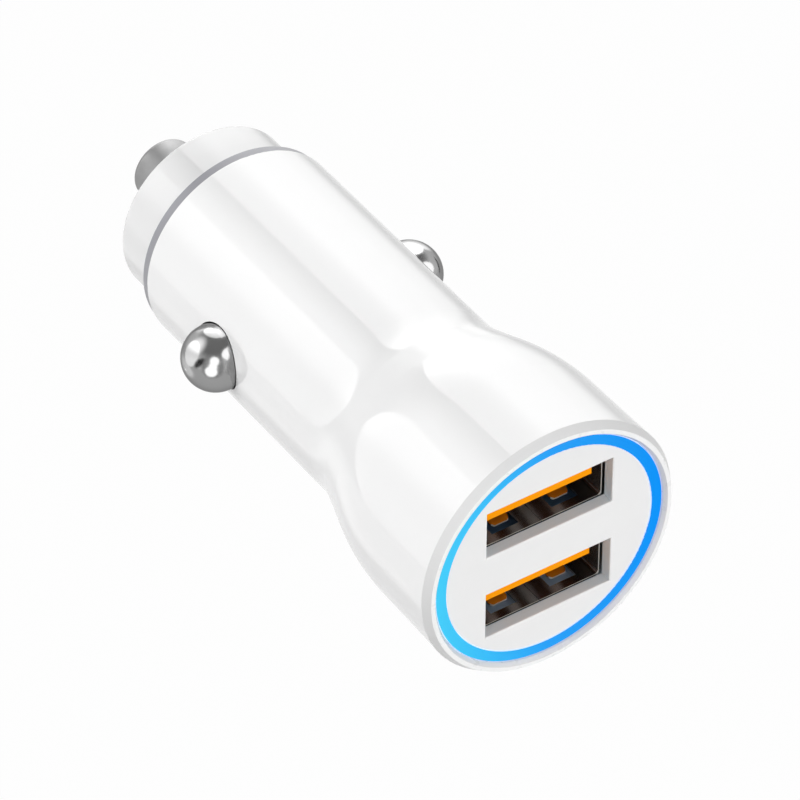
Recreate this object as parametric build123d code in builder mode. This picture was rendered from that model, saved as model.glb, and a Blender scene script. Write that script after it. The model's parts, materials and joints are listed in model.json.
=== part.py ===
from build123d import *
from math import hypot, sqrt
import os

# A plug for a car's 12 volt socket with two type A charging ports in its lit front face.
# Millimetres. +Y runs along the plug's axis from the front face to the tip, +Z is up and
# the origin is on the axis where the waist meets the mouth of the socket.

# Outside of the head and the barrel
HEAD_LENGTH = 22.01
SHOULDER_FROM_FACE = 13.01
FLARE_LENGTH = 8.1
HEAD_DRAFT = 0.2
BEVEL_WIDTH = 0.49
BEVEL_DEPTH = 0.84
LIP_WIDTH = 0.42
LIP_CHAMFER_WIDTH = 0.25
LIP_CHAMFER_DEPTH = 0.35
SHOULDER_ROUND = 22.5
WAIST_ROUND = 11.5
BARREL_DIAMETER = 20.8
BARREL_LENGTH = 28.0
BARREL_WALL = 1.8
REAR_EDGE_ROUND = 0.15

# Type A sockets, stood on end behind the front panel
PORT_PITCH = 9.47
SHELL_OPEN_WIDTH = 12.66
SHELL_OPEN_HEIGHT = 4.9
SHELL_WALL = 0.22
SHELL_CORNER = 0.45
SHELL_PANEL_GAP = 0.15
SHELL_DEPTH = 10.65
SHELL_SEAM = 0.06
SHELL_LEG_WIDTH = 2.0
FINGER_SPACING = 6.3
FINGER_WIDTH = 1.9
FINGER_LENGTH = 4.9
FINGER_FROM_MOUTH = 1.55
FINGER_RISE = 0.45
FINGER_TIP_ROUND = 0.6
FINGER_SIDE_GAP = 0.45
FINGER_TIP_GAP = 0.65
TONGUE_WIDTH = 11.1
TONGUE_THICKNESS = 1.84
TONGUE_ABOVE_CENTRE = 0.02
TONGUE_SETBACK = 0.36
TONGUE_EDGE_ROUND = 0.3
SOCKET_BASE_THICKNESS = 2.0
SOCKET_BASE_CLEARANCE = 0.05
PIN_POSITIONS = (-3.5, -1.0, 1.0, 3.5)
PIN_STRIP_WIDTH = 1.0
PIN_STRIP_THICKNESS = 0.2
PIN_STRIP_SETBACK = 1.2
PIN_STRIP_BOW = 0.55
PIN_SLOT_CLEARANCE = 0.05
TAIL_LENGTH = 0.8
TAIL_WIDTH = 0.5
BOARD_HOLE_CLEARANCE = 0.1
PAD_THICKNESS = 0.8
PAD_SETBACK = 0.25
PAD_CLEARANCE = 0.05
PAD_RIB_WIDTH = 0.9
PAD_RIB_COUNT = 3
UPPER_PAD_DROP = 1.0
LOWER_PAD_DROP = 0.5

# Front panel and the lit ring around it
PANEL_RECESS = 0.51
PANEL_THICKNESS = 1.2
SLOT_EDGE_ROUND = 0.15
SLOT_SIDE_CLEARANCE = 0.075
SLOT_LEDGE = 0.1
SKIRT_WALL = 0.65
SKIRT_CLEARANCE = 0.31
RING_GAP = 0.06
RING_STANDOUT = 0.1
RING_WIDTH = 1.07
RING_CLEARANCE = 0.1
RING_EDGE_ROUND = 0.08
GUIDE_SPIGOT_LENGTH = 0.85
GUIDE_LEDGE = 0.5

# Boards
PORT_BOARD_THICKNESS = 1.2
PORT_BOARD_LEDGE = 1.0
MAIN_BOARD_THICKNESS = 1.2
MAIN_BOARD_CLEARANCE = 0.05
MAIN_BOARD_TAB = 3.2
BOARD_FIT_CLEARANCE = 0.1

# Lights on the port board
LED_COUNT = 6
LED_LENGTH = 1.6
LED_WIDTH = 0.8
LED_HEIGHT = 0.6
LED_GAP = 0.15

# Sprung side contacts and the carrier that guides them
CONTACT_DIAMETER = 6.4
CONTACT_FROM_REAR = 11.9
CONTACT_STANDOUT = 0.12
CONTACT_METAL = 0.45
CONTACT_FLANGE = 0.65
CONTACT_FLANGE_THICKNESS = 0.5
CONTACT_CLEARANCE = 0.1
CONTACT_TRAVEL = 3.0
CARRIER_HALF_LENGTH = 5.6
CARRIER_WALL = 1.2
CARRIER_CLEARANCE = 0.1
BOSS_WALL = 0.9
BOSS_SPARE = 1.0
RAIL_WIDTH = 1.2
RAIL_HEIGHT = 1.5
SIDE_WIRE_DIAMETER = 0.5
SIDE_SPRING_CLEARANCE = 0.15
SIDE_SPRING_TURNS = 6

# Seam ring, nose collar and the sprung centre contact
SEAM_THICKNESS = 0.9
SEAM_SETBACK = 0.2
NOSE_LENGTH = 5.6
NOSE_SHOULDER = 0.6
NOSE_WALL = 1.2
NOSE_END_WALL = 1.6
NOSE_EDGE_ROUND = 0.35
SPIGOT_CLEARANCE = 0.1
PIN_DIAMETER = 6.4
PIN_REACH = 7.6
PIN_END_ROUND = 0.6
PIN_CLEARANCE = 0.1
PIN_FLANGE = 1.4
PIN_FLANGE_THICKNESS = 1.0
PIN_STOP_GAP = 0.05
PIN_TRAVEL = 3.5
PIN_SPIGOT_LENGTH = 1.5
GUIDE_TUBE_WALL = 1.0
GUIDE_TUBE_CLEARANCE = 0.15
GUIDE_TUBE_GAP = 0.3
RIB_COUNT = 4
RIB_THICKNESS = 0.9
CENTRE_WIRE_DIAMETER = 0.6
CENTRE_SPRING_SPARE = 1.75
CENTRE_SPRING_CLEARANCE = 0.3
CENTRE_SPRING_TURNS = 5
TERMINAL_THICKNESS = 0.5
TERMINAL_RIM_HEIGHT = 0.8
TERMINAL_RIM_WALL = 0.35
TERMINAL_LEG_LENGTH = 2.5
TERMINAL_LEG_WIDTH = 3.0

# Parts soldered to the main board
INDUCTOR_DIAMETER = 7.2
INDUCTOR_HEIGHT = 4.5
INDUCTOR_FLANGE = 0.8
INDUCTOR_POST_DIAMETER = 3.2
WINDING_SETBACK = 0.35
CAN_DIAMETER = 6.3
CAN_HOUSING_CLEARANCE = 0.5
CAN_EDGE_ROUND = 0.5
CAN_GROOVE = 0.25
CAN_GROOVE_HEIGHT = 1.0
OUTPUT_CAN_HEIGHT = 5.4
CHIP_LENGTH = 4.9
CHIP_WIDTH = 3.9
CHIP_HEIGHT = 1.4
CHIP_STANDOFF = 0.1
CHIP_EDGE = 0.2
LEAD_PITCH = 1.27
LEAD_WIDTH = 0.4
LEAD_THICKNESS = 0.2
LEAD_REACH = 1.0
DIODE_LENGTH = 4.3
DIODE_WIDTH = 2.6
DIODE_HEIGHT = 2.1
RESISTOR_SIZE = (0.8, 1.6, 0.45)
CERAMIC_SIZE = (1.25, 2.0, 1.0)
SMALL_PART_PITCH = 2.0
PART_SPACING = 0.8

# Radii worked out from the axis outwards
BARREL_RADIUS = BARREL_DIAMETER / 2
BARREL_BORE = BARREL_RADIUS - BARREL_WALL
CONTACT_RADIUS = CONTACT_DIAMETER / 2
PIN_RADIUS = PIN_DIAMETER / 2
SHELL_HALF_WIDTH = SHELL_OPEN_WIDTH / 2 + SHELL_WALL
SHELL_HALF_HEIGHT = SHELL_OPEN_HEIGHT / 2 + SHELL_WALL
SLOT_WIDTH = 2 * (SHELL_HALF_WIDTH + SLOT_SIDE_CLEARANCE)
SLOT_HEIGHT = SHELL_OPEN_HEIGHT + 2 * SLOT_LEDGE
SKIRT_BORE = hypot(SHELL_HALF_WIDTH, PORT_PITCH / 2 + SHELL_HALF_HEIGHT) + SKIRT_CLEARANCE
PANEL_RADIUS = SKIRT_BORE + SKIRT_WALL
RING_INNER = PANEL_RADIUS + RING_GAP
RING_OUTER = RING_INNER + RING_WIDTH
LIGHT_BORE = RING_OUTER + RING_CLEARANCE
LIP_RADIUS = LIGHT_BORE + LIP_CHAMFER_WIDTH
HEAD_RADIUS = LIP_RADIUS + LIP_WIDTH + BEVEL_WIDTH
BOARD_BORE = LIGHT_BORE - GUIDE_LEDGE
PORT_BOARD_RADIUS = BOARD_BORE - BOARD_FIT_CLEARANCE
SEAT_BORE = BOARD_BORE - PORT_BOARD_LEDGE
CARRIER_RADIUS = BARREL_BORE - CARRIER_CLEARANCE
CARRIER_BORE = CARRIER_RADIUS - CARRIER_WALL
SPIGOT_RADIUS = BARREL_BORE - SPIGOT_CLEARANCE
NOSE_RADIUS = SPIGOT_RADIUS + NOSE_SHOULDER
NOSE_BORE = SPIGOT_RADIUS - NOSE_WALL
PIN_FLANGE_RADIUS = PIN_RADIUS + PIN_FLANGE
GUIDE_TUBE_BORE = PIN_FLANGE_RADIUS + GUIDE_TUBE_CLEARANCE
GUIDE_TUBE_RADIUS = GUIDE_TUBE_BORE + GUIDE_TUBE_WALL
CONTACT_BORE = CONTACT_RADIUS - CONTACT_METAL
CONTACT_FLANGE_RADIUS = CONTACT_RADIUS + CONTACT_FLANGE
BOSS_BORE = CONTACT_FLANGE_RADIUS + CONTACT_CLEARANCE
BOARD_FACE = MAIN_BOARD_THICKNESS / 2
MAIN_BOARD_HALF_HEIGHT = sqrt(min(CARRIER_BORE, NOSE_BORE) ** 2 - BOARD_FACE ** 2) - BOARD_FIT_CLEARANCE

# Stations along the axis
FACE_Y = -HEAD_LENGTH
SHOULDER_Y = FACE_Y + SHOULDER_FROM_FACE
WAIST_Y = SHOULDER_Y + FLARE_LENGTH
PANEL_Y = FACE_Y + PANEL_RECESS
PANEL_BACK_Y = PANEL_Y + PANEL_THICKNESS
RING_Y = PANEL_Y - RING_STANDOUT
MOUTH_Y = PANEL_BACK_Y + SHELL_PANEL_GAP
PORT_BOARD_Y = MOUTH_Y + SHELL_DEPTH
PORT_BOARD_BACK_Y = PORT_BOARD_Y + PORT_BOARD_THICKNESS
GUIDE_END_Y = PORT_BOARD_Y - LED_HEIGHT - LED_GAP
GUIDE_SEAT_Y = GUIDE_END_Y - GUIDE_SPIGOT_LENGTH
BARREL_END_Y = BARREL_LENGTH
CONTACT_Y = BARREL_END_Y - CONTACT_FROM_REAR
CARRIER_FRONT_Y = CONTACT_Y - CARRIER_HALF_LENGTH
CARRIER_END_Y = CONTACT_Y + CARRIER_HALF_LENGTH
SEAM_END_Y = BARREL_END_Y + SEAM_THICKNESS
NOSE_END_Y = SEAM_END_Y + NOSE_LENGTH
NOSE_INNER_Y = NOSE_END_Y - NOSE_END_WALL
PIN_END_Y = NOSE_END_Y + PIN_REACH
PIN_FLANGE_Y = NOSE_INNER_Y - PIN_STOP_GAP - PIN_FLANGE_THICKNESS
CENTRE_SPRING_LENGTH = PIN_TRAVEL + CENTRE_SPRING_TURNS * CENTRE_WIRE_DIAMETER + CENTRE_SPRING_SPARE
TERMINAL_FACE_Y = PIN_FLANGE_Y - CENTRE_SPRING_LENGTH
BOARD_END_Y = TERMINAL_FACE_Y - TERMINAL_THICKNESS
GUIDE_TUBE_Y = TERMINAL_FACE_Y + TERMINAL_RIM_HEIGHT + GUIDE_TUBE_GAP

# Places of the side contacts along X
CONTACT_DOME_X = BARREL_RADIUS + CONTACT_STANDOUT
CONTACT_STOP_X = sqrt(BARREL_BORE ** 2 - CONTACT_FLANGE_RADIUS ** 2) - CONTACT_CLEARANCE

os.makedirs("parts", exist_ok=True)


def across(y):
    """Plane across the axis at y, drawn in X and Z; a negative extrusion runs to the tip."""
    return Plane.XZ.offset(-y)


def save(part, name):
    """Label a finished piece and write it under its own name."""
    part.label = name
    export_step(part, f"parts/{name}.step")


# Housing: head, flared shoulder and barrel moulded in one, stepped inside for what it holds
with BuildPart() as housing:
    with BuildSketch(Plane.XY) as wall:
        with BuildLine():
            lip = Line((LIP_RADIUS, FACE_Y), (HEAD_RADIUS - BEVEL_WIDTH, FACE_Y))
            bevel = Line(lip @ 1, (HEAD_RADIUS, FACE_Y + BEVEL_DEPTH))
            Polyline(
                bevel @ 1,
                (HEAD_RADIUS - HEAD_DRAFT, SHOULDER_Y),
                (BARREL_RADIUS, WAIST_Y),
                (BARREL_RADIUS, BARREL_END_Y),
                (BARREL_BORE, BARREL_END_Y),
                (BARREL_BORE, 0),
                (SEAT_BORE, PORT_BOARD_BACK_Y),
                (BOARD_BORE, PORT_BOARD_BACK_Y),
                (BOARD_BORE, GUIDE_SEAT_Y),
                (LIGHT_BORE, GUIDE_SEAT_Y),
                (LIGHT_BORE, FACE_Y + LIP_CHAMFER_DEPTH),
                lip @ 0,
            )
        make_face()
        fillet(wall.vertices().sort_by_distance((HEAD_RADIUS, SHOULDER_Y))[0], radius=SHOULDER_ROUND)
        fillet(wall.vertices().sort_by_distance((BARREL_RADIUS, WAIST_Y))[0], radius=WAIST_ROUND)
        fillet(wall.vertices().sort_by_distance((BARREL_RADIUS, BARREL_END_Y))[0], radius=REAR_EDGE_ROUND)
    revolve(axis=Axis.Y)
    with BuildSketch(Plane.YZ):
        with Locations((CONTACT_Y, 0)):
            Circle(CONTACT_RADIUS + CONTACT_CLEARANCE)
    extrude(amount=BARREL_DIAMETER, both=True, mode=Mode.SUBTRACT)
save(housing.part, "housing")

# Front panel: a disc with one slot for each port and a skirt around the sockets
with BuildPart() as front_panel:
    with BuildSketch(across(PANEL_Y)):
        Circle(PANEL_RADIUS)
        with GridLocations(0, PORT_PITCH, 1, 2):
            Rectangle(SLOT_WIDTH, SLOT_HEIGHT, mode=Mode.SUBTRACT)
    extrude(amount=-PANEL_THICKNESS)
    slots = front_panel.faces().sort_by(Axis.Y)[0].inner_wires()
    fillet([edge for slot in slots for edge in slot.edges()], radius=SLOT_EDGE_ROUND)
    with BuildSketch(across(PANEL_BACK_Y)):
        Circle(PANEL_RADIUS)
        Circle(SKIRT_BORE, mode=Mode.SUBTRACT)
    extrude(amount=PANEL_BACK_Y - GUIDE_END_Y)
save(front_panel.part, "front_panel")

# Light guide: the tube whose front edge is the lit ring, stepped to sit on the housing's ledge
with BuildPart() as light_guide:
    with BuildSketch(Plane.XY) as tube:
        with BuildLine():
            Polyline(
                (RING_INNER, RING_Y),
                (RING_OUTER, RING_Y),
                (RING_OUTER, GUIDE_SEAT_Y),
                (BOARD_BORE - RING_CLEARANCE, GUIDE_SEAT_Y),
                (BOARD_BORE - RING_CLEARANCE, GUIDE_END_Y),
                (RING_INNER, GUIDE_END_Y),
                close=True,
            )
        make_face()
        fillet(tube.vertices().group_by(Axis.Y)[0], radius=RING_EDGE_ROUND)
    revolve(axis=Axis.Y)
save(light_guide.part, "light_guide")


def make_finger(root_y, tip_y, floor_z):
    """Spring finger of a socket's floor: a strip that rises into the opening, with a round tip."""
    crest_y = tip_y + FINGER_LENGTH / 3
    with BuildPart() as finger:
        with BuildSketch(Plane.YZ):
            with BuildLine():
                ThreePointArc(
                    (tip_y, floor_z + FINGER_RISE / 2),
                    (crest_y, floor_z + FINGER_RISE),
                    (root_y, floor_z),
                )
            trace(line_width=SHELL_WALL)
        extrude(amount=FINGER_WIDTH / 2, both=True)
        with BuildSketch(Plane.XY.offset(floor_z)) as plan:
            with Locations((0, (tip_y + root_y) / 2)):
                Rectangle(FINGER_WIDTH, root_y - tip_y + SHELL_WALL)
            fillet(plan.vertices().group_by(Axis.Y)[0], radius=FINGER_TIP_ROUND)
        extrude(amount=FINGER_LENGTH, both=True, mode=Mode.INTERSECT)
    return finger.part


def make_shell(port_z):
    """Folded steel shell of a socket, with a butt seam and two spring fingers in its floor."""
    floor_z = port_z - SHELL_OPEN_HEIGHT / 2 - SHELL_WALL / 2
    tip_y = MOUTH_Y + FINGER_FROM_MOUTH
    root_y = tip_y + FINGER_LENGTH
    finger = make_finger(root_y, tip_y, floor_z)
    with BuildPart() as shell:
        with BuildSketch(across(MOUTH_Y)):
            with Locations((0, port_z)):
                RectangleRounded(2 * SHELL_HALF_WIDTH, 2 * SHELL_HALF_HEIGHT, SHELL_CORNER + SHELL_WALL)
                RectangleRounded(SHELL_OPEN_WIDTH, SHELL_OPEN_HEIGHT, SHELL_CORNER, mode=Mode.SUBTRACT)
        extrude(amount=-SHELL_DEPTH)
        with BuildSketch(Plane.XY.offset(floor_z)):
            with Locations((0, MOUTH_Y + SHELL_DEPTH / 2)):
                Rectangle(SHELL_SEAM, SHELL_DEPTH)
            with Locations((0, (tip_y - FINGER_TIP_GAP + root_y) / 2)):
                with GridLocations(FINGER_SPACING, 0, 2, 1):
                    Rectangle(FINGER_WIDTH + 2 * FINGER_SIDE_GAP, FINGER_LENGTH + FINGER_TIP_GAP)
        extrude(amount=SHELL_WALL, both=True, mode=Mode.SUBTRACT)
        with GridLocations(FINGER_SPACING, 0, 2, 1):
            add(finger)
        with BuildSketch(across(PORT_BOARD_Y)):
            with Locations((0, port_z)):
                with GridLocations(SHELL_OPEN_WIDTH + SHELL_WALL, 0, 2, 1):
                    Rectangle(SHELL_WALL, SHELL_LEG_WIDTH)
        extrude(amount=-(PORT_BOARD_THICKNESS + TAIL_LENGTH))
    return shell.part


def make_tongue(port_z):
    """Insulator of a socket: the coloured tongue and the base that closes the shell's back."""
    tongue_low = port_z + TONGUE_ABOVE_CENTRE
    base_y = PORT_BOARD_Y - SOCKET_BASE_THICKNESS
    front_y = MOUTH_Y + TONGUE_SETBACK
    slot_width = PIN_STRIP_WIDTH + 2 * PIN_SLOT_CLEARANCE
    slot_height = PIN_STRIP_THICKNESS + 2 * PIN_SLOT_CLEARANCE
    with BuildPart() as tongue:
        with BuildSketch(across(front_y)):
            with Locations((0, tongue_low + TONGUE_THICKNESS / 2)):
                Rectangle(TONGUE_WIDTH, TONGUE_THICKNESS)
        extrude(amount=front_y - base_y)
        fillet(tongue.edges().filter_by(Axis.Y).group_by(Axis.Z)[-1], radius=TONGUE_EDGE_ROUND)
        with BuildSketch(across(base_y)):
            with Locations((0, port_z)):
                RectangleRounded(
                    SHELL_OPEN_WIDTH - 2 * SOCKET_BASE_CLEARANCE,
                    SHELL_OPEN_HEIGHT - 2 * SOCKET_BASE_CLEARANCE,
                    SHELL_CORNER,
                )
        extrude(amount=-SOCKET_BASE_THICKNESS)
        with BuildSketch(across(front_y + PIN_STRIP_SETBACK - PIN_SLOT_CLEARANCE)):
            with Locations(*[(x, tongue_low) for x in PIN_POSITIONS]):
                Rectangle(slot_width, slot_height)
        extrude(amount=-SHELL_DEPTH, mode=Mode.SUBTRACT)
    return tongue.part


def make_pins(port_z):
    """Four bowed contact strips under a tongue, each with a tail through the port board."""
    strip_z = port_z + TONGUE_ABOVE_CENTRE
    front_y = MOUTH_Y + TONGUE_SETBACK + PIN_STRIP_SETBACK + PIN_STRIP_THICKNESS
    base_y = PORT_BOARD_Y - SOCKET_BASE_THICKNESS
    with BuildPart() as pins:
        with BuildSketch(*[Plane.YZ.offset(x) for x in PIN_POSITIONS]):
            with BuildLine():
                bow = ThreePointArc(
                    (front_y, strip_z),
                    ((front_y + base_y) / 2, strip_z - PIN_STRIP_BOW),
                    (base_y, strip_z),
                )
                Line(bow @ 1, (PORT_BOARD_Y, strip_z))
            trace(line_width=PIN_STRIP_THICKNESS)
        extrude(amount=PIN_STRIP_WIDTH / 2, both=True)
        with BuildSketch(across(PORT_BOARD_Y)):
            with Locations(*[(x, strip_z) for x in PIN_POSITIONS]):
                Rectangle(TAIL_WIDTH, PIN_STRIP_THICKNESS)
        extrude(amount=-(PORT_BOARD_THICKNESS + TAIL_LENGTH))
    return pins.part


def make_pad(port_z, drop):
    """Insulator under a socket: a plate seen through the fingers' windows, with ribs up to the shell."""
    front_y = MOUTH_Y + PAD_SETBACK
    rib_top = port_z - SHELL_HALF_HEIGHT - PAD_CLEARANCE
    rib_pitch = (SHELL_OPEN_WIDTH - PAD_RIB_WIDTH) / (PAD_RIB_COUNT - 1)
    with BuildPart() as pad:
        with BuildSketch(across(front_y)):
            with Locations((0, rib_top - drop - PAD_THICKNESS / 2)):
                Rectangle(SHELL_OPEN_WIDTH, PAD_THICKNESS)
            with Locations((0, rib_top - drop / 2)):
                with GridLocations(rib_pitch, 0, PAD_RIB_COUNT, 1):
                    Rectangle(PAD_RIB_WIDTH, drop)
            Circle(SKIRT_BORE - PAD_CLEARANCE, mode=Mode.INTERSECT)
        extrude(amount=front_y - PORT_BOARD_Y)
    return pad.part


for level, port_z, pad_drop in (
    ("upper", PORT_PITCH / 2, UPPER_PAD_DROP),
    ("lower", -PORT_PITCH / 2, LOWER_PAD_DROP),
):
    save(make_shell(port_z), f"{level}_usb_shell")
    save(make_tongue(port_z), f"{level}_usb_tongue")
    save(make_pins(port_z), f"{level}_usb_pins")
    save(make_pad(port_z, pad_drop), f"{level}_socket_pad")

# Port board: the round board that both sockets, the lights and the main board are soldered to
with BuildPart() as port_board:
    with BuildSketch(across(PORT_BOARD_Y)):
        Circle(PORT_BOARD_RADIUS)
        Rectangle(
            MAIN_BOARD_THICKNESS + 2 * MAIN_BOARD_CLEARANCE,
            MAIN_BOARD_TAB + 2 * BOARD_HOLE_CLEARANCE,
            mode=Mode.SUBTRACT,
        )
        with GridLocations(SHELL_OPEN_WIDTH + SHELL_WALL, PORT_PITCH, 2, 2):
            Rectangle(
                SHELL_WALL + 2 * BOARD_HOLE_CLEARANCE,
                SHELL_LEG_WIDTH + 2 * BOARD_HOLE_CLEARANCE,
                mode=Mode.SUBTRACT,
            )
        for port_z in (PORT_PITCH / 2, -PORT_PITCH / 2):
            with Locations(*[(x, port_z + TONGUE_ABOVE_CENTRE) for x in PIN_POSITIONS]):
                Rectangle(
                    TAIL_WIDTH + 2 * BOARD_HOLE_CLEARANCE,
                    PIN_STRIP_THICKNESS + 2 * BOARD_HOLE_CLEARANCE,
                    mode=Mode.SUBTRACT,
                )
    extrude(amount=-PORT_BOARD_THICKNESS)
save(port_board.part, "port_board")

# Ring lights: chips around the edge of the port board, under the end of the light guide
led_radius = PORT_BOARD_RADIUS - LED_WIDTH / 2 - BOARD_FIT_CLEARANCE
with BuildPart() as ring_leds:
    with BuildSketch(across(PORT_BOARD_Y)):
        with PolarLocations(led_radius, LED_COUNT):
            Rectangle(LED_WIDTH, LED_LENGTH)
    extrude(amount=LED_HEIGHT)
save(ring_leds.part, "ring_leds")

# Main board: stands upright along the axis, with a tab through the port board
with BuildPart() as main_board:
    with BuildSketch(Plane.YZ):
        with Locations(((PORT_BOARD_BACK_Y + BOARD_END_Y) / 2, 0)):
            Rectangle(BOARD_END_Y - PORT_BOARD_BACK_Y, 2 * MAIN_BOARD_HALF_HEIGHT)
        with Locations(((PORT_BOARD_Y + PORT_BOARD_BACK_Y) / 2, 0)):
            Rectangle(PORT_BOARD_THICKNESS, MAIN_BOARD_TAB)
    extrude(amount=BOARD_FACE, both=True)
save(main_board.part, "main_board")

# Contact carrier: a sleeve in the barrel with a boss for each side contact and rails for the board
rail_x = BOARD_FACE + MAIN_BOARD_CLEARANCE
boss_x = CONTACT_STOP_X - CONTACT_FLANGE_THICKNESS - CONTACT_TRAVEL - BOSS_SPARE
with BuildPart() as contact_carrier:
    with BuildSketch(across(CARRIER_FRONT_Y)):
        Circle(CARRIER_RADIUS)
        Circle(CARRIER_BORE, mode=Mode.SUBTRACT)
    extrude(amount=-2 * CARRIER_HALF_LENGTH)
    with BuildSketch(across(CARRIER_FRONT_Y)):
        with GridLocations(2 * rail_x + RAIL_WIDTH, 2 * (CARRIER_BORE - RAIL_HEIGHT / 2), 2, 2):
            Rectangle(RAIL_WIDTH, RAIL_HEIGHT)
        Circle(CARRIER_BORE + CARRIER_WALL / 2, mode=Mode.INTERSECT)
    extrude(amount=-2 * CARRIER_HALF_LENGTH)
    for boss_plane in (Plane.YZ.offset(boss_x), Plane.ZY.offset(boss_x)):
        boss_centre = boss_plane.to_local_coords(Vector(0, CONTACT_Y, 0))
        with BuildSketch(boss_plane):
            with Locations((boss_centre.X, boss_centre.Y)):
                Circle(BOSS_BORE + BOSS_WALL)
        extrude(amount=CARRIER_BORE + CARRIER_WALL / 2 - boss_x)
    with BuildSketch(across(CARRIER_FRONT_Y)):
        Circle(BARREL_RADIUS)
        Circle(CARRIER_RADIUS, mode=Mode.SUBTRACT)
    extrude(amount=-2 * CARRIER_HALF_LENGTH, mode=Mode.SUBTRACT)
    with BuildSketch(Plane.YZ):
        with Locations((CONTACT_Y, 0)):
            Circle(BOSS_BORE)
    extrude(amount=BARREL_RADIUS, both=True, mode=Mode.SUBTRACT)
save(contact_carrier.part, "contact_carrier")


def make_contact(side):
    """Drawn steel cap of a side contact: a dome on a short skirt, with a flange that keeps it in."""
    flange_x = CONTACT_STOP_X - CONTACT_FLANGE_THICKNESS
    with BuildPart() as contact:
        with BuildSketch(Plane.XY):
            with BuildLine():
                crown = CenterArc((CONTACT_DOME_X, CONTACT_Y), CONTACT_RADIUS, 0, 90)
                Polyline(
                    crown @ 1,
                    (CONTACT_STOP_X, CONTACT_Y + CONTACT_RADIUS),
                    (CONTACT_STOP_X, CONTACT_Y + CONTACT_FLANGE_RADIUS),
                    (flange_x, CONTACT_Y + CONTACT_FLANGE_RADIUS),
                    (flange_x, CONTACT_Y + CONTACT_BORE),
                    (CONTACT_DOME_X, CONTACT_Y + CONTACT_BORE),
                )
                hollow = CenterArc((CONTACT_DOME_X, CONTACT_Y), CONTACT_BORE, 0, 90)
                Line(hollow @ 0, crown @ 0)
            make_face()
        revolve(axis=Axis((0, CONTACT_Y, 0), (1, 0, 0)))
        if side == "left":
            mirror(about=Plane.YZ, mode=Mode.REPLACE)
    return contact.part


def make_coil(start, direction, length, radius, wire, turns):
    """Compression spring of round wire, from a seat along a direction."""
    with BuildPart() as coil:
        with BuildLine() as turns_line:
            Helix(
                pitch=(length - wire) / turns,
                height=length - wire,
                radius=radius,
                center=Vector(start) + Vector(direction) * (wire / 2),
                direction=direction,
            )
        with BuildSketch(Plane(origin=turns_line.line @ 0, z_dir=turns_line.line % 0)):
            Circle(wire / 2)
        sweep(is_frenet=True)
    return coil.part


side_spring_radius = CONTACT_BORE - SIDE_SPRING_CLEARANCE - SIDE_WIRE_DIAMETER / 2
side_spring_outer = CONTACT_BORE - SIDE_SPRING_CLEARANCE
side_spring_end = CONTACT_DOME_X + sqrt(CONTACT_BORE ** 2 - side_spring_outer ** 2)
for side, direction in (("right", 1), ("left", -1)):
    save(make_contact(side), f"{side}_contact")
    spring = make_coil(
        (direction * BOARD_FACE, CONTACT_Y, 0),
        (direction, 0, 0),
        side_spring_end - BOARD_FACE,
        side_spring_radius,
        SIDE_WIRE_DIAMETER,
        SIDE_SPRING_TURNS,
    )
    save(spring, f"{side}_spring")

# Seam ring: the grey washer that shows between the barrel and the nose
with BuildPart() as seam_ring:
    with BuildSketch(across(BARREL_END_Y)):
        Circle(BARREL_RADIUS - SEAM_SETBACK)
        Circle(BARREL_BORE, mode=Mode.SUBTRACT)
    extrude(amount=-SEAM_THICKNESS)
save(seam_ring.part, "seam_ring")

# Nose collar: a cup whose spigot goes into the barrel, with a ribbed tube that guides the pin
with BuildPart() as nose_collar:
    with BuildSketch(Plane.XY) as cup:
        with BuildLine():
            Polyline(
                (SPIGOT_RADIUS, CARRIER_END_Y),
                (SPIGOT_RADIUS, SEAM_END_Y),
                (NOSE_RADIUS, SEAM_END_Y),
                (NOSE_RADIUS, NOSE_END_Y),
                (PIN_RADIUS + PIN_CLEARANCE, NOSE_END_Y),
                (PIN_RADIUS + PIN_CLEARANCE, NOSE_INNER_Y),
                (GUIDE_TUBE_BORE, NOSE_INNER_Y),
                (GUIDE_TUBE_BORE, GUIDE_TUBE_Y),
                (GUIDE_TUBE_RADIUS, GUIDE_TUBE_Y),
                (GUIDE_TUBE_RADIUS, NOSE_INNER_Y),
                (NOSE_BORE, NOSE_INNER_Y),
                (NOSE_BORE, CARRIER_END_Y),
                close=True,
            )
        make_face()
        fillet(cup.vertices().sort_by_distance((NOSE_RADIUS, NOSE_END_Y))[0], radius=NOSE_EDGE_ROUND)
    revolve(axis=Axis.Y)
    with BuildSketch(across(GUIDE_TUBE_Y)):
        with PolarLocations(0, RIB_COUNT):
            Rectangle(NOSE_RADIUS, RIB_THICKNESS, align=(Align.MIN, Align.CENTER))
        Circle(NOSE_BORE + NOSE_WALL / 2, mode=Mode.INTERSECT)
        Circle(GUIDE_TUBE_BORE + GUIDE_TUBE_WALL / 2, mode=Mode.SUBTRACT)
    extrude(amount=GUIDE_TUBE_Y - NOSE_INNER_Y)
save(nose_collar.part, "nose_collar")

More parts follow.
